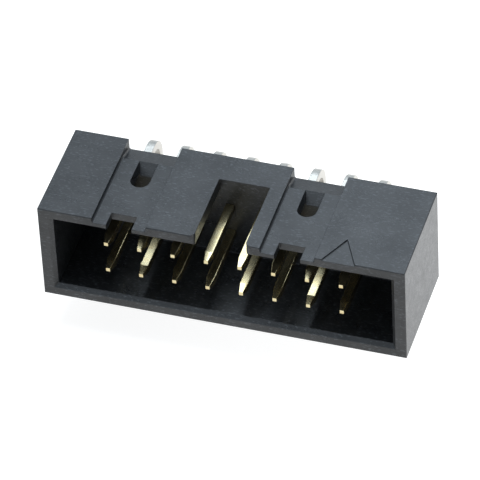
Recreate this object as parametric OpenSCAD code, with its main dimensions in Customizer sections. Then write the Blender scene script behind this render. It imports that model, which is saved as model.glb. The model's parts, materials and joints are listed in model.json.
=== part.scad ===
// Right-angle box header for a two-row ribbon-cable socket.
// One moulded housing holds two rows of square contacts. The contacts pass through
// the housing's back wall and bend down behind it into the circuit board.
//
// +X runs along the rows towards contact 1, the mouth faces -Y and +Z is up.
// The origin lies on the board's face, in the middle of the grid of solder tails.

/* [Contacts] */
// Contacts in each of the two rows
columns = 8; // [8:1:25]
// Spacing of the columns and of the two rows
pitch = 2.54; // [2.4:0.01:2.8]
// Thickness of the square contact wire
wire = 0.64; // [0.5:0.01:0.7]
// Height of the line midway between the rows above the housing's underside
row_height = 4.29; // [4:0.01:4.5]
// Distance of the mating points behind the mouth
tip_recess = 0.5; // [0.2:0.05:2]
// Length of the taper on the mating points
tip_length = 0.8; // [0.4:0.05:1.2]
// Width of the flat at the end of a mating point
tip_flat = 0.3; // [0.1:0.05:0.4]
// Distance of the nearer row of tails behind the housing's back
tail_setback = 1.18; // [1.15:0.01:3]
// Centre-line radius of the bends in the lower row
lower_bend = 1.1; // [0.7:0.05:1.2]
// Centre-line radius of the bends in the upper row
upper_bend = 1.5; // [0.7:0.05:2]
// Length of the tails below the board's face
tail_length = 3.1; // [2:0.1:5]
// Length of the taper on the tail ends
tail_taper = 0.6; // [0.3:0.05:1]
// Width of the flat at the end of a tail
tail_flat = 0.36; // [0.2:0.02:0.4]

/* [Housing] */
// Depth of the housing from mouth to back
housing_depth = 8.92; // [8:0.01:12]
// Height of the cavity at the mouth
cavity_height = 6.92; // [6.6:0.01:7.4]
// Distance from the outermost contacts' centres to the cavity's end walls
end_space = 4.15; // [3:0.05:5]
// Thickness of the end walls at the mouth
end_wall = 0.8; // [0.7:0.05:2]
// Thickness of the top wall at the mouth
top_wall = 0.76; // [0.7:0.01:1]
// Thickness of the bottom wall at the mouth
bottom_wall = 0.73; // [0.5:0.01:1.2]
// Thickness of the back wall that grips the contacts
back_wall = 2.37; // [2:0.01:3]
// Radius on the housing's outer edges
edge_radius = 0.08; // [0.05:0.01:0.25]
// Length of the lead-in bevels round the mouth
lead_in_length = 0.3; // [0.1:0.05:1]
// Rise of the lead-in bevels round the mouth
lead_in_rise = 0.3; // [0.05:0.01:0.35]

/* [Key slot] */
// Width of the polarising slot in the top wall
key_width = 3.85; // [3.5:0.05:4.5]
// Length of the polarising slot from the mouth
key_length = 6.35; // [4:0.05:6.5]
// Radius of the slot's corners at the mouth
key_corner = 0.45; // [0.2:0.05:0.8]

/* [Latch channels] */
// Columns between the far end and the left channel
left_channel_columns = 1; // [1:1:2]
// Columns between the contact 1 end and the right channel
right_channel_columns = 2; // [1:1:2]
// Width of the channels in the top face
channel_width = 4.1; // [3:0.05:4.4]
// Depth of a channel from the mouth to its break
channel_depth = 0.42; // [0.3:0.01:0.5]
// Depth of a channel at the housing's back
channel_rear_depth = 1; // [0.8:0.01:1.3]
// Distance from the back to where a channel's floor starts down
channel_break = 1.72; // [1:0.01:2]
// Bevel where a channel's floor meets its walls
channel_bevel = 0.1; // [0.05:0.01:0.25]
// Width of the latch windows and of their ramps
window_width = 1.45; // [1:0.05:2]
// Distance of the windows' round ends behind the mouth
window_front = 4.45; // [3:0.05:5]
// Drop of the ramps from the channel's floor to the cavity
ramp_drop = 0.85; // [0.6:0.05:1.2]
// Draft of the windows' side walls in degrees
window_draft = 15; // [0:1:18]
// Width of the notches in the mouth in front of the windows
notch_width = 1.95; // [1:0.05:3]
// Depth of those notches
notch_depth = 1.35; // [0.3:0.05:2]

/* [Marks and feet] */
// Width at the mouth of the sunk triangle that marks contact 1
mark_width = 2.5; // [1.5:0.1:3.4]
// Length of that triangle from the mouth to its point
mark_length = 2.5; // [1:0.05:3]
// Depth of the triangle
mark_depth = 0.12; // [0.1:0.01:0.3]
// Height of the feet that hold the housing off the board
foot_height = 0.2; // [0.1:0.01:0.5]
// Width of each foot
foot_width = 0.7; // [0.5:0.05:1.2]
// Length of each foot
foot_length = 1.1; // [0.6:0.05:2]
// Distance of the feet from the housing's ends
foot_end_inset = 2.05; // [1:0.05:3]
// Distance of the feet from the mouth and from the back
foot_edge_inset = 0.35; // [0.2:0.05:1.5]

/* [Fits] */
// Play of a contact in its passage, on each side
passage_play = 0.01; // [0:0.005:0.05]
// Length of the funnel at the rear of each passage
funnel_length = 0.35; // [0.1:0.05:0.6]
// Widening of that funnel on each side
funnel_rise = 0.2; // [0.1:0.05:0.3]

/* [Hidden] */
$fn = 48;
// Cutters reach this far past the faces that they open.
past = 1;

contacts = 2 * columns;
row_span = (columns - 1) * pitch;
cavity_length = row_span + 2 * end_space;
housing_length = cavity_length + 2 * end_wall;
housing_height = bottom_wall + cavity_height + top_wall;

// Levels along Y, from front to back.
back_y = -pitch / 2 - tail_setback;
mouth_y = back_y - housing_depth;
cavity_back_y = back_y - back_wall;
break_y = back_y - channel_break;
tip_y = mouth_y + tip_recess;

// Levels along Z, from the feet up.
base_z = foot_height;
cavity_floor_z = base_z + bottom_wall;
ceiling_z = cavity_floor_z + cavity_height;
top_z = base_z + housing_height;
channel_z = top_z - channel_depth;
rows_z = base_z + row_height;

// Longer than any contact, along Y and along Z.
contact_reach = housing_depth + housing_height + tail_length + tail_setback;

// Angle at which a channel's floor falls away behind its break.
fall_angle = atan((channel_rear_depth - channel_depth) / channel_break);

// The channels lie midway between two columns, counted from either end.
channel_x = [
    -row_span / 2 + (left_channel_columns - 0.5) * pitch,
    row_span / 2 - (right_channel_columns - 0.5) * pitch
];

// Contact 1 is at the +X end of the upper row; odd contacts are above even ones.
function column_x(index) = row_span / 2 - floor(index / 2) * pitch;
function is_upper(index) = index % 2 == 0;
function row_z(index) = rows_z + (is_upper(index) ? pitch : -pitch) / 2;
function tail_y(index) = (is_upper(index) ? pitch : -pitch) / 2;
function bend(index) = is_upper(index) ? upper_bend : lower_bend;
function contact_name(index) = str("contact_", index < 9 ? "0" : "", index + 1);

// ---- Shared shapes ----

// Extrudes a plan of X and Y upwards, between two heights.
module plan(z0, z1) {
    translate([0, 0, z0]) linear_extrude(z1 - z0) children();
}

// Extrudes a front view of X and Z backwards, between two places along Y.
module front_view(y0, y1) {
    translate([0, y1, 0]) rotate([90, 0, 0]) linear_extrude(y1 - y0) children();
}

// Extrudes a side view of Y and Z along X, between two places.
module side_view(x0, x1) {
    translate([x0, 0, 0]) rotate([90, 0, 90]) linear_extrude(x1 - x0) children();
}

// Rectangle from one corner to the other with round corners.
module round_rectangle(low, high, radius) {
    size = high - low;
    translate(low + [radius, 0]) square([size.x - 2 * radius, size.y]);
    translate(low + [0, radius]) square([size.x, size.y - 2 * radius]);
    for (x = [low.x + radius, high.x - radius], y = [low.y + radius, high.y - radius])
        translate([x, y]) circle(radius);
}

// Square bar along +Y that tapers from one width to another.
module taper(y0, y1, width0, width1) {
    profile = [
        [-width0 / 2, y0], [width0 / 2, y0], [width1 / 2, y1], [-width1 / 2, y1]
    ];
    widest = max(width0, width1);
    intersection() {
        plan(-widest / 2, widest / 2) polygon(profile);
        side_view(-widest / 2, widest / 2) polygon([for (point = profile) [point.y, point.x]]);
    }
}

// ---- Housing ----

// Outer block: three views of a rounded box, crossed.
module block() {
    half = housing_length / 2;
    intersection() {
        front_view(mouth_y, back_y)
            round_rectangle([-half, base_z], [half, top_z], edge_radius);
        side_view(-half, half)
            round_rectangle([mouth_y, base_z], [back_y, top_z], edge_radius);
        plan(base_z, top_z)
            round_rectangle([-half, mouth_y], [half, back_y], edge_radius);
    }
}

// Outline of the cavity across its width or height, narrowing over the lead-in bevels.
module cavity_outline(low, high) {
    inner_y = mouth_y + lead_in_length;
    polygon([
        [low, mouth_y - past], [high, mouth_y - past], [high, mouth_y],
        [high - lead_in_rise, inner_y], [high - lead_in_rise, cavity_back_y],
        [low + lead_in_rise, cavity_back_y], [low + lead_in_rise, inner_y], [low, mouth_y]
    ]);
}

// Space for the cable socket.
module cavity() {
    half = cavity_length / 2;
    intersection() {
        plan(cavity_floor_z, ceiling_z) cavity_outline(-half, half);
        side_view(-half, half) mirror([1, -1]) cavity_outline(cavity_floor_z, ceiling_z);
    }
}

// Slot in the top wall for the socket's key, with round corners at the mouth.
module key_slot() {
    half = key_width / 2;
    plan(ceiling_z - past, top_z + past) {
        translate([-half, mouth_y - past]) square([key_width, key_length + past]);
        difference() {
            translate([-half - key_corner, mouth_y - past])
                square([key_width + 2 * key_corner, key_corner + past]);
            for (x = [-half - key_corner, half + key_corner])
                translate([x, mouth_y + key_corner]) circle(key_corner);
        }
    }
}

// Trough section in X and Z with bevelled feet; its floor is at height zero.
module trough() {
    half = channel_width / 2;
    height = channel_rear_depth + past;
    polygon([
        [-half, height], [-half, channel_bevel], [channel_bevel - half, 0],
        [half - channel_bevel, 0], [half, channel_bevel], [half, height]
    ]);
}

// Latch channel: level from the mouth to its break, then falling to the back.
module channel() {
    translate([0, 0, channel_z]) front_view(mouth_y - past, back_y + past) trough();
    translate([0, break_y, channel_z]) rotate([-fall_angle, 0, 0])
        front_view(0, channel_break + 2 * past) trough();
}

// Latch window: round in front, drafted sides, and a ramp behind up to the break.
module window() {
    half = window_width / 2;
    drop = ramp_drop + past;
    inset = drop * tan(window_draft);
    centre_y = mouth_y + window_front + half;
    intersection() {
        plan(channel_z - drop, channel_z + past) {
            translate([0, centre_y]) circle(half);
            translate([-half, centre_y]) square([window_width, break_y - centre_y]);
        }
        side_view(-half, half) polygon([
            [mouth_y, channel_z + past], [mouth_y, channel_z - ramp_drop],
            [cavity_back_y, channel_z - ramp_drop], [break_y, channel_z],
            [break_y, channel_z + past]
        ]);
        front_view(mouth_y, back_y) polygon([
            [-half, channel_z + past], [-half, channel_z],
            [inset - half, channel_z - drop], [half - inset, channel_z - drop],
            [half, channel_z], [half, channel_z + past]
        ]);
    }
}

// Notch through the top wall at the mouth.
module notch() {
    plan(ceiling_z - past, top_z + past)
        translate([-notch_width / 2, mouth_y - past]) square([notch_width, notch_depth + past]);
}

// Sunk triangle over the column of contact 1, open at the mouth.
module contact_1_mark() {
    half = mark_width / 2 * (1 + past / mark_length);
    plan(top_z - mark_depth, top_z + past)
        translate([column_x(0), mouth_y])
            polygon([[-half, -past], [half, -past], [0, mark_length]]);
}

// Square passage through the back wall, with a funnel where the contact is put in.
module passage() {
    width = wire + 2 * passage_play;
    plan(-width / 2, width / 2) translate([-width / 2, cavity_back_y - past / 2])
        square([width, back_wall + past]);
    taper(back_y - funnel_length, back_y + past, width,
        width + 2 * funnel_rise * (1 + past / funnel_length));
}

// Feet under the four corners.
module feet() {
    x = housing_length / 2 - foot_end_inset;
    front = mouth_y + foot_edge_inset;
    rear = back_y - foot_edge_inset - foot_length;
    plan(0, base_z + bottom_wall / 2)
        for (centre = [-x, x], y = [front, rear])
            translate([centre - foot_width / 2, y]) square([foot_width, foot_length]);
}

module housing() {
    color([0.17, 0.18, 0.19]) difference() {
        union() {
            block();
            feet();
        }
        cavity();
        key_slot();
        for (x = channel_x) translate([x, 0, 0]) {
            channel();
            window();
            notch();
        }
        contact_1_mark();
        for (index = [0 : contacts - 1])
            translate([column_x(index), 0, row_z(index)]) passage();
    }
}

// ---- Contacts ----

// Half-width that a taper of the wire would reach when drawn on past its end.
function drawn_on(flat, length) = flat / 2 + (wire - flat) / 2 * (1 + past / length);

// Plan or front view of a pointed wire that starts at zero and runs along the second axis.
module pointed_wire(flat, length, reach) {
    half = drawn_on(flat, length);
    polygon([
        [-flat / 2, 0], [flat / 2, 0], [half, length + past],
        [half, reach], [-half, reach], [-half, length + past]
    ]);
}

// Everything in front of and below a rounded corner, in Y and Z.
module rounded_quarter(corner, radius) {
    reach = contact_reach * [1, 1];
    round_rectangle(corner - reach, corner, radius);
}

// Side view of a contact, in Y and Z, with both ends tapered.
module contact_side(index) {
    corner = [tail_y(index), row_z(index)];
    half = wire / 2 * [1, 1];
    tip_half = drawn_on(tip_flat, tip_length);
    tip_back = tip_y + tip_length + past;
    tail_half = drawn_on(tail_flat, tail_taper);
    tail_top = tail_taper + past - tail_length;
    intersection() {
        polygon([
            [tip_y, corner.y - tip_flat / 2], [tip_back, corner.y - tip_half],
            [corner.x - tail_half, tail_top], [corner.x - tail_flat / 2, -tail_length],
            [corner.x + tail_flat / 2, -tail_length], [corner.x + tail_half, tail_top],
            [corner.x + tail_half, corner.y + tip_half],
            [tip_back, corner.y + tip_half], [tip_y, corner.y + tip_flat / 2]
        ]);
        difference() {
            rounded_quarter(corner + half, bend(index) + wire / 2);
            rounded_quarter(corner - half, bend(index) - wire / 2);
        }
    }
}

// Square wire from the mating point back to the bend and down to the solder tail.
module contact(index) {
    color([0.85, 0.72, 0.42]) translate([column_x(index), 0, 0]) intersection() {
        side_view(-wire / 2, wire / 2) contact_side(index);
        plan(-tail_length - past, row_z(index) + wire)
            translate([0, tip_y]) pointed_wire(tip_flat, tip_length, contact_reach);
        front_view(tip_y - past, tail_y(index) + wire)
            translate([0, -tail_length]) pointed_wire(tail_flat, tail_taper, contact_reach);
    }
}

// ---- Drawing ----

housing();
for (index = [0 : contacts - 1])
    contact(index);
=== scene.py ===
"""Dresses a right-angle box header: moulded housing, drawn contacts, light tent and camera."""

import json
import math
from contextlib import contextmanager

import bmesh
import bpy
from bpy.props import FloatProperty, FloatVectorProperty, IntProperty, PointerProperty
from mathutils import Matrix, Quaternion, Vector

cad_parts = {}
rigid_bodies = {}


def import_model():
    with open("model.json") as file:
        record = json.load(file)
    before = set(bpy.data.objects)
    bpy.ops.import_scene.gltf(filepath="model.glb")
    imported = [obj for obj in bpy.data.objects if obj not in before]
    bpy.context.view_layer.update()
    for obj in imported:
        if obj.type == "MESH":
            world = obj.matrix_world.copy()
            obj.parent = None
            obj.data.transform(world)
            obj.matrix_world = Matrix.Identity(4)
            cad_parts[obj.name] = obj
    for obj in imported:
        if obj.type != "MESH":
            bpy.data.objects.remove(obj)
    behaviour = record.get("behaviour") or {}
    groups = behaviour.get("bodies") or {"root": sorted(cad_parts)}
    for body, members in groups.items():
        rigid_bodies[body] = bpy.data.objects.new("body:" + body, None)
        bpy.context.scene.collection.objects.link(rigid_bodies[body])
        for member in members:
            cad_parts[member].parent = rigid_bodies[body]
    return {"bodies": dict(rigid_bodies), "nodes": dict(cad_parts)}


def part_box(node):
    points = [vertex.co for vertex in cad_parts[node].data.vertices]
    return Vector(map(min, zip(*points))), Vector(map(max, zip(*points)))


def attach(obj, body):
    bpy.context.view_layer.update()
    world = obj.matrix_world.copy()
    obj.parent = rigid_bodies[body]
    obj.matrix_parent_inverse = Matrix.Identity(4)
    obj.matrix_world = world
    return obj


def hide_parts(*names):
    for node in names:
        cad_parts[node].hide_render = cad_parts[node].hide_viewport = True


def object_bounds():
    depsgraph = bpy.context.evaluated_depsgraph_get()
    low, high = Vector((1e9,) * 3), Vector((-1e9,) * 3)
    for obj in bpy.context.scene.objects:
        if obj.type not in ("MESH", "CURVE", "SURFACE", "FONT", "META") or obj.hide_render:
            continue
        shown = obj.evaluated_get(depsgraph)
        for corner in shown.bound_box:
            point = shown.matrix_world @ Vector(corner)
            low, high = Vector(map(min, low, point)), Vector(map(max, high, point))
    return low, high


bl_info = {
    "name": "Box header",
    "version": (1, 0, 0),
    "blender": (4, 5, 0),
    "location": "3D View > Sidebar > Box header",
    "description": "Makes the housing, the contacts and the studio of a right-angle box header",
    "category": "Add Mesh",
}

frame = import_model()
CAD_BOX = [list(corner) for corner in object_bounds()]
CONTACT_NODES = sorted(name for name in frame["nodes"] if name.startswith("contact_"))
BODY = next(iter(frame["bodies"]))

# Levels of noise between which a finish changes; past them it stays as it is
NOISE_LOW, NOISE_HIGH = 0.3, 0.7
TONE_LOW, TONE_HIGH = 0.35, 0.65
FLECK_LOW, FLECK_HIGH = 0.57, 0.72
TARNISH_LOW, TARNISH_HIGH = 0.4, 0.7

# Plastic: sizes of its patterns in metres, and what each of them does to the finish
CLOUD_SIZE = 0.0028
CLOUD_SHARE = 0.6
FLOW_SIZE = 0.0009
FLOW_SHARE = 0.4
FLOW_DEPTH = 0.000006
FLOW_STRENGTH = 0.6
FLOW_ROUGHNESS = 0.04
GRAIN_ROUGHNESS = 0.06
FIBRE_SIZE = 0.00011
FIBRE_SHARE = 0.6
DARK_TONE, PALE_TONE = 0.88, 1.12
DARK_SPECULAR, PALE_SPECULAR = 0.42, 0.58
PLASTIC_IOR = 1.5

# Wire: sizes of its patterns in metres, its tarnish and how rough its platings are
LINE_SIZE = 0.00006
LINE_STRETCH = 30.0
LINE_DEPTH = 0.00000005
LINE_STRENGTH = 0.25
TARNISH_SIZE = 0.0006
TARNISH_TINT = (0.78, 0.56, 0.28)
TARNISH_SHARE = 0.35
GOLD_SMOOTH, GOLD_ROUGH = 0.2, 0.23
TIN_EXTRA_ROUGHNESS = 0.12
WIRE_ANISOTROPY = 0.6
# Distances in front of the housing's back at which the gold ends and the tin begins
GOLD_END = 0.002
TIN_START = 0.0004

# Table
TABLE_CLOUD_SIZE = 0.2
TABLE_TONE = 0.98
TABLE_ROUGHNESS = 0.9
TABLE_SPECULAR = 0.1

# Points closer together than this, in metres, are merged
CAD_MERGE = 1e-6
WIRE_MERGE = 1e-7
# Edges shorter than this, in metres, count as having no length
NO_LENGTH = 1e-8
# CAD triangles that meet at less than this angle are joined into one face
FLAT_ANGLE = math.radians(0.5)
# Faces narrower than this share of the wire belong to its rounded corners and its bend
WIRE_STRIP_SHARE = 0.3
# Steps on each rounded corner of the wire's section
CORNER_STEPS = 3

# Width of the soft edges of the tent's patches, as a share of their angle
PATCH_BLUR = 0.25
# Camera: sensor in millimetres, nearest and farthest distance seen in metres
SENSOR_WIDTH = 36
CLIP_START, CLIP_END = 0.01, 10


# ---- Settings ----


class HousingSettings(bpy.types.PropertyGroup):
    """Edges and moulded finish of the housing."""

    edge_round: FloatProperty(
        name="Edge round",
        description="Width of the small round that moulding leaves on each sharp edge",
        default=0.00003,
        min=0.0,
        unit="LENGTH",
    )
    edge_steps: IntProperty(
        name="Edge steps",
        description="Faces across each edge round",
        default=2,
        min=1,
        max=4,
    )
    edge_angle: FloatProperty(
        name="Edge angle",
        description="Edges that turn by more than this are rounded",
        default=math.radians(32),
        subtype="ANGLE",
    )
    strip_width: FloatProperty(
        name="Strip width",
        description="Faces narrower than this belong to a round and are shaded smooth",
        default=0.00012,
        unit="LENGTH",
    )
    plastic: FloatVectorProperty(
        name="Plastic",
        description="Colour of the filled plastic",
        default=(0.0095, 0.01, 0.0105),
        subtype="COLOR",
        min=0.0,
        max=1.0,
    )
    fibre: FloatVectorProperty(
        name="Fibre",
        description="Colour of the glass fibres that lie near the surface",
        default=(0.07, 0.074, 0.08),
        subtype="COLOR",
        min=0.0,
        max=1.0,
    )
    gloss: FloatProperty(
        name="Roughness",
        description="Average roughness of the spark-eroded mould finish",
        default=0.33,
        min=0.0,
        max=1.0,
        subtype="FACTOR",
    )
    grain_size: FloatProperty(
        name="Grain size",
        description="Size of the grains of the spark-eroded finish",
        default=0.00012,
        unit="LENGTH",
    )
    grain_height: FloatProperty(
        name="Grain height",
        description="Height of the grains of the spark-eroded finish",
        default=0.000005,
        unit="LENGTH",
    )


class ContactSettings(bpy.types.PropertyGroup):
    """Shape and plating of the contacts."""

    corner_round: FloatProperty(
        name="Corner round",
        description="Radius on the four corners of the drawn wire",
        default=0.00005,
        unit="LENGTH",
    )
    lower_bend: FloatProperty(
        name="Lower bend",
        description="Centre-line radius of the bends in the lower row",
        default=0.0011,
        unit="LENGTH",
    )
    upper_bend: FloatProperty(
        name="Upper bend",
        description="Centre-line radius of the bends in the upper row",
        default=0.0015,
        unit="LENGTH",
    )
    bend_steps: IntProperty(
        name="Bend steps",
        description="Segments of each bend",
        default=16,
        min=4,
        max=48,
    )
    tip_flat: FloatProperty(
        name="Tip flat",
        description="Width of the flat at the end of a mating point",
        default=0.0003,
        unit="LENGTH",
    )
    tip_length: FloatProperty(
        name="Tip length",
        description="Length of the taper on a mating point",
        default=0.0008,
        unit="LENGTH",
    )
    tail_flat: FloatProperty(
        name="Tail flat",
        description="Width of the flat at the end of a tail",
        default=0.00036,
        unit="LENGTH",
    )
    tail_taper: FloatProperty(
        name="Tail taper",
        description="Length of the taper on a tail's end",
        default=0.0006,
        unit="LENGTH",
    )
    gold: FloatVectorProperty(
        name="Gold",
        description="Colour of the flash gold on the mating ends",
        default=(0.68, 0.59, 0.36),
        subtype="COLOR",
        min=0.0,
        max=1.0,
    )
    tin: FloatVectorProperty(
        name="Tin",
        description="Colour of the tin on the tails",
        default=(0.52, 0.5, 0.46),
        subtype="COLOR",
        min=0.0,
        max=1.0,
    )


class StudioSettings(bpy.types.PropertyGroup):
    """Floor, light and camera."""

    floor_size: FloatProperty(
        name="Floor size",
        description="Side of the square floor",
        default=1.6,
        unit="LENGTH",
    )
    floor_colour: FloatVectorProperty(
        name="Floor colour",
        description="Colour of the floor",
        default=(0.48, 0.45, 0.42),
        subtype="COLOR",
        min=0.0,
        max=1.0,
    )
    # The four settings below paint a glow on the floor. It is brightest round one point and fades
    # with distance from it. The floor itself emits this light, and no lamp stands below the table.
    painted_floor_glow: FloatProperty(
        name="Floor glow",
        description="Light that the translucent table lets through from the lamp below it",
        default=1.35,
        min=0.0,
    )
    painted_far_glow: FloatProperty(
        name="Far glow",
        description="Light that the table lets through far from that lamp",
        default=0.1,
        min=0.0,
    )
    painted_glow_reach: FloatProperty(
        name="Glow reach",
        description="Distance from that lamp at which the table's light has faded",
        default=0.14,
        unit="LENGTH",
    )
    painted_glow_place: FloatVectorProperty(
        name="Glow place",
        description="Point on the floor above that lamp",
        default=(0.03, 0.035, 0.0),
        subtype="TRANSLATION",
        unit="LENGTH",
    )
    sky_colour: FloatVectorProperty(
        name="Tent colour",
        description="Colour of the light from the tent and the softbox",
        default=(0.88, 1.0, 1.12),
        subtype="COLOR",
        min=0.0,
        max=2.0,
    )
    sky_light: FloatProperty(
        name="Tent light",
        description="Brightness of the light tent",
        default=0.7,
        min=0.0,
    )
    softbox_power: FloatProperty(
        name="Softbox power",
        description="Power of the softbox above and behind the object",
        default=1.75,
        min=0.0,
        unit="POWER",
    )
    softbox_size: FloatVectorProperty(
        name="Softbox size",
        description="Width and height of the softbox",
        default=(0.3, 0.55),
        size=2,
        subtype="XYZ_LENGTH",
    )
    softbox_place: FloatVectorProperty(
        name="Softbox place",
        description="Centre of the softbox, which faces the object",
        default=(0.0, 0.15, 0.47),
        subtype="TRANSLATION",
        unit="LENGTH",
    )
    shade_direction: FloatVectorProperty(
        name="Shade direction",
        description="Direction of the tent's dark opening above the camera",
        default=(0.1, -0.5, 0.86),
        subtype="DIRECTION",
    )
    shade_angle: FloatProperty(
        name="Shade angle",
        description="Half the angle that the tent's dark opening takes up",
        default=math.radians(26),
        subtype="ANGLE",
    )
    shade_light: FloatProperty(
        name="Shade light",
        description="Brightness of the tent's dark opening, as a share of the tent's",
        default=0.25,
        min=0.0,
        max=1.0,
        subtype="FACTOR",
    )
    fill_direction: FloatVectorProperty(
        name="Fill direction",
        description="Direction of the pale card low in front of the object",
        default=(-0.24, -0.84, 0.48),
        subtype="DIRECTION",
    )
    fill_angle: FloatProperty(
        name="Fill angle",
        description="Half the angle that the pale card takes up",
        default=math.radians(16),
        subtype="ANGLE",
    )
    fill_light: FloatProperty(
        name="Fill light",
        description="Brightness of the pale card, as a share of the tent's",
        default=3.0,
        min=0.0,
    )
    target: FloatVectorProperty(
        name="Target",
        description="Point in the middle of the picture",
        default=(0.00007, -0.00695, 0.00473),
        subtype="TRANSLATION",
        unit="LENGTH",
    )
    azimuth: FloatProperty(
        name="Azimuth",
        description="Direction of the camera round the object, from the mouth side towards +X",
        default=math.radians(19.154),
        subtype="ANGLE",
    )
    elevation: FloatProperty(
        name="Elevation",
        description="Height of the camera above the horizon",
        default=math.radians(43.051),
        subtype="ANGLE",
    )
    roll: FloatProperty(
        name="Roll",
        description="Turn of the camera about its line of sight",
        default=math.radians(-3.214),
        subtype="ANGLE",
    )
    distance: FloatProperty(
        name="Distance",
        description="Distance of the camera from the target",
        default=0.35106,
        unit="LENGTH",
    )
    lens: FloatProperty(
        name="Lens",
        description="Focal length on a sensor 36 mm wide",
        default=360.77,
        subtype="DISTANCE_CAMERA",
    )


# ---- Materials ----


class NodeMaker:
    """Adds nodes to a tree and links them."""

    def __init__(self, tree):
        self.tree = tree

    def add(self, kind, inputs=None, **settings):
        """Adds a node; inputs are given by identifier or place, as values or as sockets."""
        node = self.tree.nodes.new(kind)
        for name, value in settings.items():
            setattr(node, name, value)
        for key, value in (inputs or {}).items():
            socket = node.inputs[key] if isinstance(key, int) else self.find(node, key)
            if isinstance(value, bpy.types.NodeSocket):
                self.tree.links.new(value, socket)
            else:
                socket.default_value = value
        return node

    @staticmethod
    def find(node, key):
        """Returns the input with this identifier."""
        return next(socket for socket in node.inputs if socket.identifier == key)

    def math(self, operation, a, b=0.0):
        """Returns the result of a sum on two numbers or sockets."""
        return self.add("ShaderNodeMath", {0: a, 1: b}, operation=operation).outputs[0]

    def remap(self, value, low, high, new_low, new_high):
        """Returns value moved from one range to another and kept inside it."""
        return self.add(
            "ShaderNodeMapRange",
            {
                "Value": value,
                "From Min": low,
                "From Max": high,
                "To Min": new_low,
                "To Max": new_high,
            },
        ).outputs["Result"]

    def noise(self, vector, size, stretch=(1.0, 1.0, 1.0), detail=2.0, roughness=0.5):
        """Returns noise whose features are about size wide, drawn out along the stretched axes."""
        scale = tuple(1.0 / factor for factor in stretch)
        drawn = self.add("ShaderNodeMapping", {"Vector": vector, "Scale": scale})
        return self.add(
            "ShaderNodeTexNoise",
            {
                "Vector": drawn.outputs[0],
                "Scale": 1.0 / size,
                "Detail": detail,
                "Roughness": roughness,
            },
        ).outputs["Fac"]

    @staticmethod
    def shown(node):
        """Returns the output that a mix node shows for its kind of data."""
        return next(socket for socket in node.outputs if socket.enabled)

    def blend(self, factor, a, b, mode="MIX"):
        """Returns colour a turned towards colour b."""
        mixed = self.add(
            "ShaderNodeMix",
            {"Factor_Float": factor, "A_Color": a, "B_Color": b},
            data_type="RGBA",
            blend_type=mode,
        )
        return self.shown(mixed)


def opaque(colour):
    """Returns a colour with full alpha."""
    return (*colour, 1.0)


def new_material(name):
    """Returns a material, its node maker, its shader and the object coordinates."""
    material = bpy.data.materials.new(name)
    material.use_nodes = True
    maker = NodeMaker(material.node_tree)
    shader = material.node_tree.nodes["Principled BSDF"]
    place = maker.add("ShaderNodeTexCoord").outputs["Object"]
    return material, maker, shader, place


def filled_plastic(settings):
    """Dark glass-filled plastic with a fine spark-eroded grain."""
    material, maker, shader, place = new_material("filled_plastic")
    link = material.node_tree.links.new

    cloud = maker.noise(place, CLOUD_SIZE, detail=3.0)
    flow = maker.noise(place, FLOW_SIZE, stretch=(3.0, 1.0, 1.0), detail=4.0, roughness=0.6)
    fibre = maker.noise(place, FIBRE_SIZE, stretch=(2.5, 1.0, 1.0), detail=1.0)
    grain = maker.noise(place, settings.grain_size, detail=3.0, roughness=0.65)

    tone = maker.math(
        "ADD",
        maker.math("MULTIPLY", cloud, CLOUD_SHARE),
        maker.math("MULTIPLY", flow, FLOW_SHARE),
    )
    shade = maker.remap(tone, TONE_LOW, TONE_HIGH, 0.0, 1.0)
    base = maker.blend(
        shade,
        opaque([channel * DARK_TONE for channel in settings.plastic]),
        opaque([channel * PALE_TONE for channel in settings.plastic]),
    )
    flecks = maker.remap(fibre, FLECK_LOW, FLECK_HIGH, 0.0, FIBRE_SHARE)
    link(maker.blend(flecks, base, opaque(settings.fibre)), shader.inputs["Base Color"])
    specular = maker.remap(tone, TONE_LOW, TONE_HIGH, DARK_SPECULAR, PALE_SPECULAR)
    link(specular, shader.inputs["Specular IOR Level"])

    matt = maker.remap(
        grain,
        NOISE_LOW,
        NOISE_HIGH,
        settings.gloss - GRAIN_ROUGHNESS,
        settings.gloss + GRAIN_ROUGHNESS,
    )
    worn = maker.remap(flow, NOISE_LOW, NOISE_HIGH, -FLOW_ROUGHNESS, FLOW_ROUGHNESS)
    link(maker.math("ADD", matt, worn), shader.inputs["Roughness"])

    fine = maker.add(
        "ShaderNodeBump",
        {"Strength": 1.0, "Distance": settings.grain_height, "Height": grain},
    )
    sunk = maker.add(
        "ShaderNodeBump",
        {
            "Strength": FLOW_STRENGTH,
            "Distance": FLOW_DEPTH,
            "Height": flow,
            "Normal": fine.outputs[0],
        },
    )
    link(sunk.outputs[0], shader.inputs["Normal"])
    shader.inputs["IOR"].default_value = PLASTIC_IOR
    return material


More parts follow.
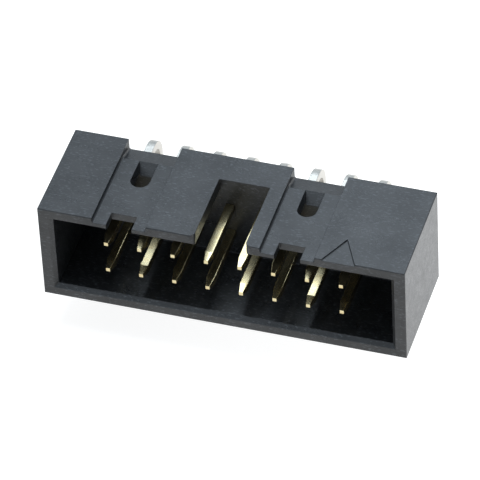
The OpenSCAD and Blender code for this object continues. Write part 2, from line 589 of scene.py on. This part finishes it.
def plated_wire(settings, gold_end, tin_start):
    """Drawn wire that turns from gold to tin inside the housing's back wall."""
    material, maker, shader, place = new_material("plated_wire")
    link = material.node_tree.links.new
    along_y = maker.add("ShaderNodeSeparateXYZ", {"Vector": place}).outputs["Y"]

    behind = maker.remap(along_y, gold_end, tin_start, 0.0, 1.0)
    shank_lines = maker.noise(place, LINE_SIZE, stretch=(1.0, LINE_STRETCH, 1.0), detail=2.0)
    tail_lines = maker.noise(place, LINE_SIZE, stretch=(1.0, 1.0, LINE_STRETCH), detail=2.0)
    lines = maker.math(
        "ADD",
        maker.math("MULTIPLY", shank_lines, maker.math("SUBTRACT", 1.0, behind)),
        maker.math("MULTIPLY", tail_lines, behind),
    )
    tarnish = maker.noise(place, TARNISH_SIZE, detail=3.0, roughness=0.6)

    gold = maker.blend(
        maker.remap(tarnish, TARNISH_LOW, TARNISH_HIGH, 0.0, TARNISH_SHARE),
        opaque(settings.gold),
        opaque(TARNISH_TINT),
        mode="MULTIPLY",
    )
    link(maker.blend(behind, gold, opaque(settings.tin)), shader.inputs["Base Color"])
    shine = maker.math(
        "ADD",
        maker.remap(lines, NOISE_LOW, NOISE_HIGH, GOLD_SMOOTH, GOLD_ROUGH),
        maker.remap(behind, 0.0, 1.0, 0.0, TIN_EXTRA_ROUGHNESS),
    )
    link(shine, shader.inputs["Roughness"])
    drawn = maker.add(
        "ShaderNodeBump", {"Strength": LINE_STRENGTH, "Distance": LINE_DEPTH, "Height": lines}
    )
    link(drawn.outputs[0], shader.inputs["Normal"])
    shader.inputs["Metallic"].default_value = 1.0
    along = maker.add(
        "ShaderNodeMix",
        {"Factor_Float": behind, "A_Vector": (0.0, 1.0, 0.0), "B_Vector": (0.0, 0.0, 1.0)},
        data_type="VECTOR",
    )
    link(maker.shown(along), shader.inputs["Tangent"])
    shader.inputs["Anisotropic"].default_value = WIRE_ANISOTROPY
    return material


# ---- Shapes ----


def link_object(name, mesh, material=None):
    """Puts a mesh into the scene as an object at the origin."""
    if material is not None:
        mesh.materials.clear()
        mesh.materials.append(material)
    made = bpy.data.objects.new(name, mesh)
    bpy.context.scene.collection.objects.link(made)
    return made


def plain_mesh(made, name):
    """Returns the mesh that an object's modifiers make of it."""
    graph = bpy.context.evaluated_depsgraph_get()
    mesh = bpy.data.meshes.new_from_object(made.evaluated_get(graph), depsgraph=graph)
    mesh.name = name
    return mesh


@contextmanager
def opened(mesh):
    """Opens a mesh for editing and puts the result back into it."""
    shell = bmesh.new()
    shell.from_mesh(mesh)
    yield shell
    shell.to_mesh(mesh)
    shell.free()


def drop_flat_faces(mesh):
    """Takes out the faces without area that are left where rounds meet in the windows."""
    with opened(mesh) as shell:
        bmesh.ops.remove_doubles(shell, verts=shell.verts, dist=NO_LENGTH)
        bmesh.ops.dissolve_degenerate(shell, edges=shell.edges, dist=NO_LENGTH)


def merged_copy(node):
    """Returns a copy of a CAD node's mesh with its triangles joined into flat faces."""
    mesh = frame["nodes"][node].data.copy()
    with opened(mesh) as shell:
        bmesh.ops.remove_doubles(shell, verts=shell.verts, dist=CAD_MERGE)
        bmesh.ops.dissolve_limit(
            shell, angle_limit=FLAT_ANGLE, verts=shell.verts, edges=shell.edges
        )
    return mesh


def shade_rounds(mesh, widest):
    """Smooths the narrow strips that make up a mesh's rounds and leaves its broad faces flat."""
    for strip in mesh.polygons:
        corners = [mesh.vertices[place].co for place in strip.vertices]
        # Twice a narrow strip's area over its girth is about its width.
        girth = sum((a - b).length for a, b in zip(corners, corners[1:] + corners[:1]))
        strip.use_smooth = 2 * strip.area < widest * girth


def wire_tree():
    """Builds the tree that runs a square wire along a path with one bend."""
    tree = bpy.data.node_groups.new("contact_wire", "GeometryNodeTree")
    face = tree.interface
    face.new_socket(name="Geometry", in_out="INPUT", socket_type="NodeSocketGeometry")
    for name, kind in (
        ("Tip", "NodeSocketVector"),
        ("Corner", "NodeSocketVector"),
        ("Tail End", "NodeSocketVector"),
        ("Wire", "NodeSocketFloat"),
        ("Corner Round", "NodeSocketFloat"),
        ("Bend Radius", "NodeSocketFloat"),
        ("Bend Steps", "NodeSocketInt"),
        ("Tip Flat", "NodeSocketFloat"),
        ("Tip Length", "NodeSocketFloat"),
        ("Tail Flat", "NodeSocketFloat"),
        ("Tail Taper", "NodeSocketFloat"),
        ("Material", "NodeSocketMaterial"),
    ):
        face.new_socket(name=name, in_out="INPUT", socket_type=kind)
    face.new_socket(name="Geometry", in_out="OUTPUT", socket_type="NodeSocketGeometry")

    maker = NodeMaker(tree)
    given = maker.add("NodeGroupInput").outputs

    def stepped(start, towards, length):
        """Returns the point at a length from start on the way to another point."""
        away = maker.add("ShaderNodeVectorMath", {0: towards, 1: start}, operation="SUBTRACT")
        unit = maker.add("ShaderNodeVectorMath", {0: away.outputs[0]}, operation="NORMALIZE")
        step = maker.add(
            "ShaderNodeVectorMath", {0: unit.outputs[0], "Scale": length}, operation="SCALE"
        )
        return maker.add(
            "ShaderNodeVectorMath", {0: start, 1: step.outputs[0]}, operation="ADD"
        ).outputs[0]

    def by_point(kind, values):
        """Returns the value that belongs to each point of the path, by its number."""
        switch = maker.add("GeometryNodeIndexSwitch", data_type=kind)
        while len(switch.index_switch_items) < len(values):
            switch.index_switch_items.new()
        number = maker.add("GeometryNodeInputIndex").outputs[0]
        tree.links.new(number, switch.inputs[0])
        for place, value in enumerate(values):
            socket = switch.inputs[place + 1]
            if isinstance(value, bpy.types.NodeSocket):
                tree.links.new(value, socket)
            else:
                socket.default_value = value
        return switch.outputs[0]

    places = [
        given["Tip"],
        stepped(given["Tip"], given["Corner"], given["Tip Length"]),
        given["Corner"],
        stepped(given["Tail End"], given["Corner"], given["Tail Taper"]),
        given["Tail End"],
    ]
    widths = [
        maker.math("DIVIDE", given["Tip Flat"], given["Wire"]),
        1.0,
        1.0,
        1.0,
        maker.math("DIVIDE", given["Tail Flat"], given["Wire"]),
    ]
    bends = [0.0, 0.0, given["Bend Radius"], 0.0, 0.0]

    points = maker.add("GeometryNodeMeshLine", {"Count": len(places)})
    path = maker.add("GeometryNodeMeshToCurve", {"Mesh": points.outputs[0]})
    placed = maker.add(
        "GeometryNodeSetPosition",
        {"Geometry": path.outputs[0], "Position": by_point("VECTOR", places)},
    )
    tapered = maker.add(
        "GeometryNodeSetCurveRadius",
        {"Curve": placed.outputs[0], "Radius": by_point("FLOAT", widths)},
    )
    bent = maker.add(
        "GeometryNodeFilletCurve",
        {
            "Curve": tapered.outputs[0],
            "Count": given["Bend Steps"],
            "Radius": by_point("FLOAT", bends),
        },
        mode="POLY",
    )
    turned = maker.add(
        "GeometryNodeSetCurveNormal",
        {"Curve": bent.outputs[0], "Normal": (1.0, 0.0, 0.0)},
        mode="FREE",
    )
    section = maker.add(
        "GeometryNodeCurvePrimitiveQuadrilateral",
        {"Width": given["Wire"], "Height": given["Wire"]},
    )
    rounded = maker.add(
        "GeometryNodeFilletCurve",
        {"Curve": section.outputs[0], "Count": CORNER_STEPS, "Radius": given["Corner Round"]},
        mode="POLY",
    )
    radius = maker.add("GeometryNodeInputRadius").outputs[0]
    drawn = maker.add(
        "GeometryNodeCurveToMesh",
        {
            "Curve": turned.outputs[0],
            "Profile Curve": rounded.outputs[0],
            "Scale": radius,
            "Fill Caps": True,
        },
    )
    real = maker.add("GeometryNodeRealizeInstances", {"Geometry": drawn.outputs[0]})
    finished = maker.add(
        "GeometryNodeSetMaterial",
        {"Geometry": real.outputs[0], "Material": given["Material"]},
    )
    maker.add("NodeGroupOutput", {0: finished.outputs[0]})
    return tree


def drawn_contact(node, tree, settings, material):
    """Draws one contact where its CAD node lies and returns it as a plain object."""
    low, high = (Vector(corner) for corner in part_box(node))
    wire = high.x - low.x
    centre = (low.x + high.x) / 2
    tail_y = high.y - wire / 2
    row_z = high.z - wire / 2
    is_upper = int(node.split("_")[1]) % 2 == 1
    sizes = {
        "Tip": (centre, low.y, row_z),
        "Corner": (centre, tail_y, row_z),
        "Tail End": (centre, tail_y, low.z),
        "Wire": wire,
        "Corner Round": settings.corner_round,
        "Bend Radius": settings.upper_bend if is_upper else settings.lower_bend,
        "Bend Steps": settings.bend_steps,
        "Tip Flat": settings.tip_flat,
        "Tip Length": settings.tip_length,
        "Tail Flat": settings.tail_flat,
        "Tail Taper": settings.tail_taper,
        "Material": material,
    }
    made = link_object(node + "_wire", bpy.data.meshes.new(node + "_path"))
    modifier = made.modifiers.new("wire", "NODES")
    modifier.node_group = tree
    for item in tree.interface.items_tree:
        if item.in_out == "INPUT" and item.name in sizes:
            modifier[item.identifier] = sizes[item.name]
    mesh = plain_mesh(made, node + "_wire")
    made.modifiers.clear()
    made.data = mesh
    with opened(mesh) as shell:
        bmesh.ops.remove_doubles(shell, verts=shell.verts, dist=WIRE_MERGE)
        bmesh.ops.recalc_face_normals(shell, faces=shell.faces)
    shade_rounds(mesh, WIRE_STRIP_SHARE * wire)
    return made


# ---- Operators ----


class BOXHEADER_OT_housing(bpy.types.Operator):
    """Make the moulded housing with rounded edges and its grained finish"""

    bl_idname = "box_header.make_housing"
    bl_label = "Make Housing"

    def execute(self, context):
        settings = context.scene.box_header_housing
        mesh = merged_copy("housing")
        made = link_object("moulded_housing", mesh, filled_plastic(settings))
        shade_rounds(mesh, settings.strip_width)
        bevel = made.modifiers.new("edge_round", "BEVEL")
        bevel.width = settings.edge_round
        bevel.segments = settings.edge_steps
        bevel.limit_method = "ANGLE"
        bevel.angle_limit = settings.edge_angle
        # The clamp would shrink every round to suit the mesh's smallest facet.
        bevel.use_clamp_overlap = False
        made.data = plain_mesh(made, "moulded_housing")
        made.modifiers.remove(bevel)
        drop_flat_faces(made.data)
        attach(made, BODY)
        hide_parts("housing")
        return {"FINISHED"}


class BOXHEADER_OT_contacts(bpy.types.Operator):
    """Draw the plated contacts from the mating points to the solder tails"""

    bl_idname = "box_header.make_contacts"
    bl_label = "Make Contacts"

    def execute(self, context):
        settings = context.scene.box_header_contacts
        housing_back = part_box("housing")[1][1]
        material = plated_wire(settings, housing_back - GOLD_END, housing_back - TIN_START)
        tree = wire_tree()
        for node in CONTACT_NODES:
            made = drawn_contact(node, tree, settings, material)
            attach(made, BODY)
            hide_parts(node)
        return {"FINISHED"}


class BOXHEADER_OT_studio(bpy.types.Operator):
    """Make the pale floor, the soft light and the camera"""

    bl_idname = "box_header.make_studio"
    bl_label = "Make Studio"

    def execute(self, context):
        settings = context.scene.box_header_studio
        self.make_floor(settings)
        self.make_light(context, settings)
        self.make_camera(context, settings)
        return {"FINISHED"}

    @staticmethod
    def make_floor(settings):
        """Lays the floor under the tails, with a painted glow that is brightest round one point
        and fades away from it.
        """
        half = settings.floor_size / 2
        level = CAD_BOX[0][2]
        mesh = bpy.data.meshes.new("floor")
        corners = ((-half, -half), (half, -half), (half, half), (-half, half))
        mesh.from_pydata([(x, y, level) for x, y in corners], [], [(0, 1, 2, 3)])
        material, maker, shader, place = new_material("pale_table")
        shade = maker.noise(place, TABLE_CLOUD_SIZE, detail=1.0)
        colour = maker.blend(
            shade,
            opaque(settings.floor_colour),
            opaque([channel * TABLE_TONE for channel in settings.floor_colour]),
        )
        material.node_tree.links.new(colour, shader.inputs["Base Color"])
        shader.inputs["Roughness"].default_value = TABLE_ROUGHNESS
        shader.inputs["Specular IOR Level"].default_value = TABLE_SPECULAR
        # Painted light: the floor's emission is brightest at the glow place and fades with
        # distance from it. This painted pool of light also washes out the shadows on the floor.
        away = maker.add(
            "ShaderNodeVectorMath", {0: place, 1: settings.painted_glow_place}, operation="DISTANCE"
        ).outputs["Value"]
        painted_glow = maker.remap(away, 0.0, settings.painted_glow_reach, settings.painted_floor_glow, settings.painted_far_glow)
        material.node_tree.links.new(painted_glow, shader.inputs["Emission Strength"])
        shader.inputs["Emission Color"].default_value = opaque((1.0, 1.0, 1.0))
        link_object("floor", mesh, material)

    @staticmethod
    def make_light(context, settings):
        """Lights the scene with a pale tent, its dark and bright patches, and a softbox."""
        world = bpy.data.worlds.new("light_tent")
        world.use_nodes = True
        maker = NodeMaker(world.node_tree)
        way = maker.add("ShaderNodeTexCoord").outputs["Generated"]
        share = 1.0
        for direction, angle, light in (
            (settings.shade_direction, settings.shade_angle, settings.shade_light),
            (settings.fill_direction, settings.fill_angle, settings.fill_light),
        ):
            turned = maker.add(
                "ShaderNodeVectorMath",
                {0: way, 1: Vector(direction).normalized()},
                operation="DOT_PRODUCT",
            ).outputs["Value"]
            blur = PATCH_BLUR * angle
            patch = maker.remap(
                turned, math.cos(angle + blur), math.cos(angle - blur), 1.0, light
            )
            share = maker.math("MULTIPLY", share, patch)
        tent = world.node_tree.nodes["Background"]
        tent.inputs["Color"].default_value = opaque(settings.sky_colour)
        strength = maker.math("MULTIPLY", share, settings.sky_light)
        world.node_tree.links.new(strength, tent.inputs["Strength"])
        context.scene.world = world
        softbox = bpy.data.lights.new("softbox", "AREA")
        softbox.energy = settings.softbox_power
        softbox.color = settings.sky_colour
        softbox.shape = "RECTANGLE"
        softbox.size, softbox.size_y = settings.softbox_size
        made = bpy.data.objects.new("softbox", softbox)
        made.location = settings.softbox_place
        away = Vector(settings.softbox_place) - Vector(settings.target)
        made.rotation_euler = away.to_track_quat("Z", "Y").to_euler()
        context.scene.collection.objects.link(made)
        context.scene.view_settings.view_transform = "Standard"

    @staticmethod
    def make_camera(context, settings):
        """Points the camera at the object from above the mouth, turned towards contact 1."""
        lens = bpy.data.cameras.new("camera")
        lens.lens = settings.lens
        lens.sensor_width = SENSOR_WIDTH
        lens.clip_start = CLIP_START
        lens.clip_end = CLIP_END
        camera = bpy.data.objects.new("camera", lens)
        level = math.cos(settings.elevation)
        away = Vector(
            (
                math.sin(settings.azimuth) * level,
                -math.cos(settings.azimuth) * level,
                math.sin(settings.elevation),
            )
        )
        camera.location = Vector(settings.target) + settings.distance * away
        aim = (-away).to_track_quat("-Z", "Y")
        camera.rotation_euler = (aim @ Quaternion((0, 0, 1), settings.roll)).to_euler()
        context.scene.collection.objects.link(camera)
        context.scene.camera = camera


class BOXHEADER_PT_panel(bpy.types.Panel):
    """Lists the pieces of the box header and their settings"""

    bl_idname = "BOXHEADER_PT_panel"
    bl_label = "Box Header"
    bl_space_type = "VIEW_3D"
    bl_region_type = "UI"
    bl_category = "Box header"

    def draw(self, context):
        for operator, settings in (
            (BOXHEADER_OT_housing, context.scene.box_header_housing),
            (BOXHEADER_OT_contacts, context.scene.box_header_contacts),
            (BOXHEADER_OT_studio, context.scene.box_header_studio),
        ):
            box = self.layout.box()
            for name in settings.__annotations__:
                box.prop(settings, name)
            box.operator(operator.bl_idname)


# ---- Registration ----

CLASSES = (
    HousingSettings,
    ContactSettings,
    StudioSettings,
    BOXHEADER_OT_housing,
    BOXHEADER_OT_contacts,
    BOXHEADER_OT_studio,
    BOXHEADER_PT_panel,
)


def register():
    """Registers the classes and hangs the settings on the scene."""
    for kind in CLASSES:
        bpy.utils.register_class(kind)
    bpy.types.Scene.box_header_housing = PointerProperty(type=HousingSettings)
    bpy.types.Scene.box_header_contacts = PointerProperty(type=ContactSettings)
    bpy.types.Scene.box_header_studio = PointerProperty(type=StudioSettings)


def unregister():
    """Removes the settings and the classes."""
    del bpy.types.Scene.box_header_studio
    del bpy.types.Scene.box_header_contacts
    del bpy.types.Scene.box_header_housing
    for kind in reversed(CLASSES):
        bpy.utils.unregister_class(kind)


def main():
    """Registers the classes, then makes every piece."""
    register()
    bpy.ops.box_header.make_studio()
    bpy.ops.box_header.make_housing()
    bpy.ops.box_header.make_contacts()


if __name__ == "__main__":
    main()
